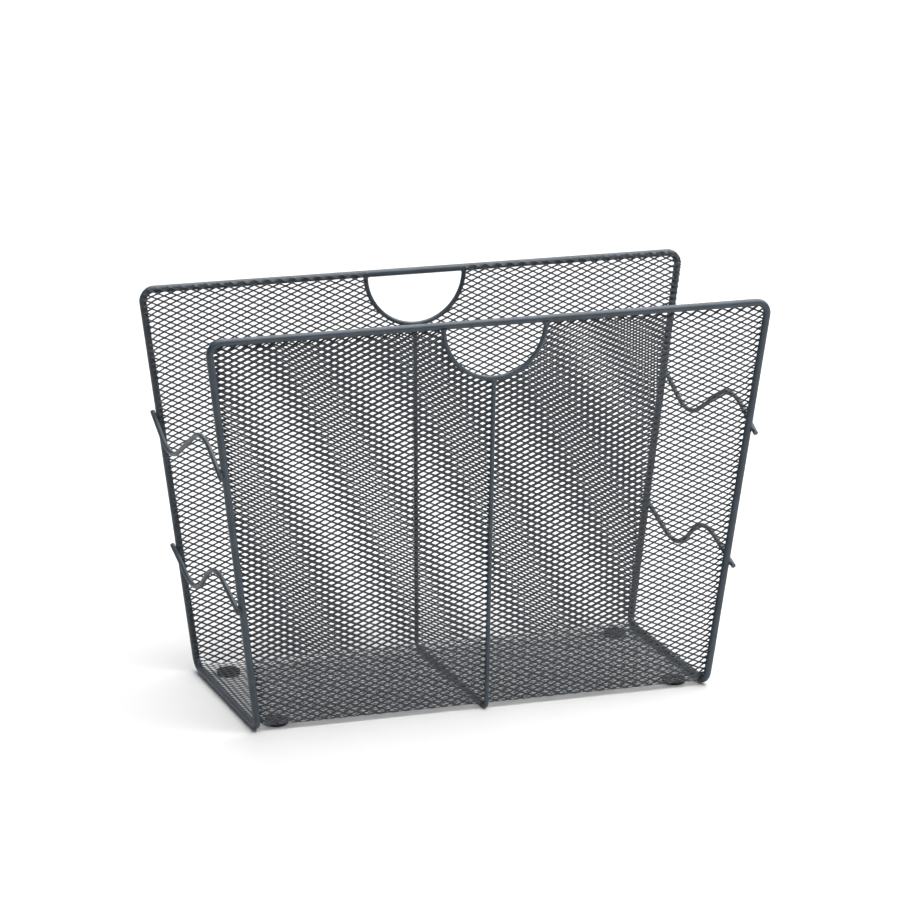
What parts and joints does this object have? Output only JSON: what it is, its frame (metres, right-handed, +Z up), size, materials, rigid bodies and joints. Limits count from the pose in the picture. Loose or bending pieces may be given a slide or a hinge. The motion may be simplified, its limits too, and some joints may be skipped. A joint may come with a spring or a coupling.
{
  "type": "magazine holder",
  "caption": "Open V-shaped magazine holder of coated steel wire and expanded-metal mesh, with a half-round finger opening in each long side and waved wires across its ends.",
  "frame": {"origin": "on the surface that the feet stand on, below the middle of the holder", "axes": "+X along the length, -Y towards the front panel, +Z up"},
  "size_m": [0.3978, 0.1656, 0.275],
  "materials": {
    "graphite_coat": "semi-matt graphite powder coat",
    "graphite_mesh": "semi-matt graphite powder coat on expanded metal",
    "black_rubber": "matt black rubber"
  },
  "bodies": {
    "root": {"mesh_sheet": "graphite_mesh", "frame_wire": "graphite_coat", "centre_wire": "graphite_coat", "rear_handle_arc": "graphite_coat", "front_handle_arc": "graphite_coat", "left_upper_end_wire": "graphite_coat", "right_upper_end_wire": "graphite_coat", "left_lower_end_wire": "graphite_coat", "right_lower_end_wire": "graphite_coat", "foot_front_left": "black_rubber", "foot_front_right": "black_rubber", "foot_rear_left": "black_rubber", "foot_rear_right": "black_rubber"}
  },
  "joints": []
}
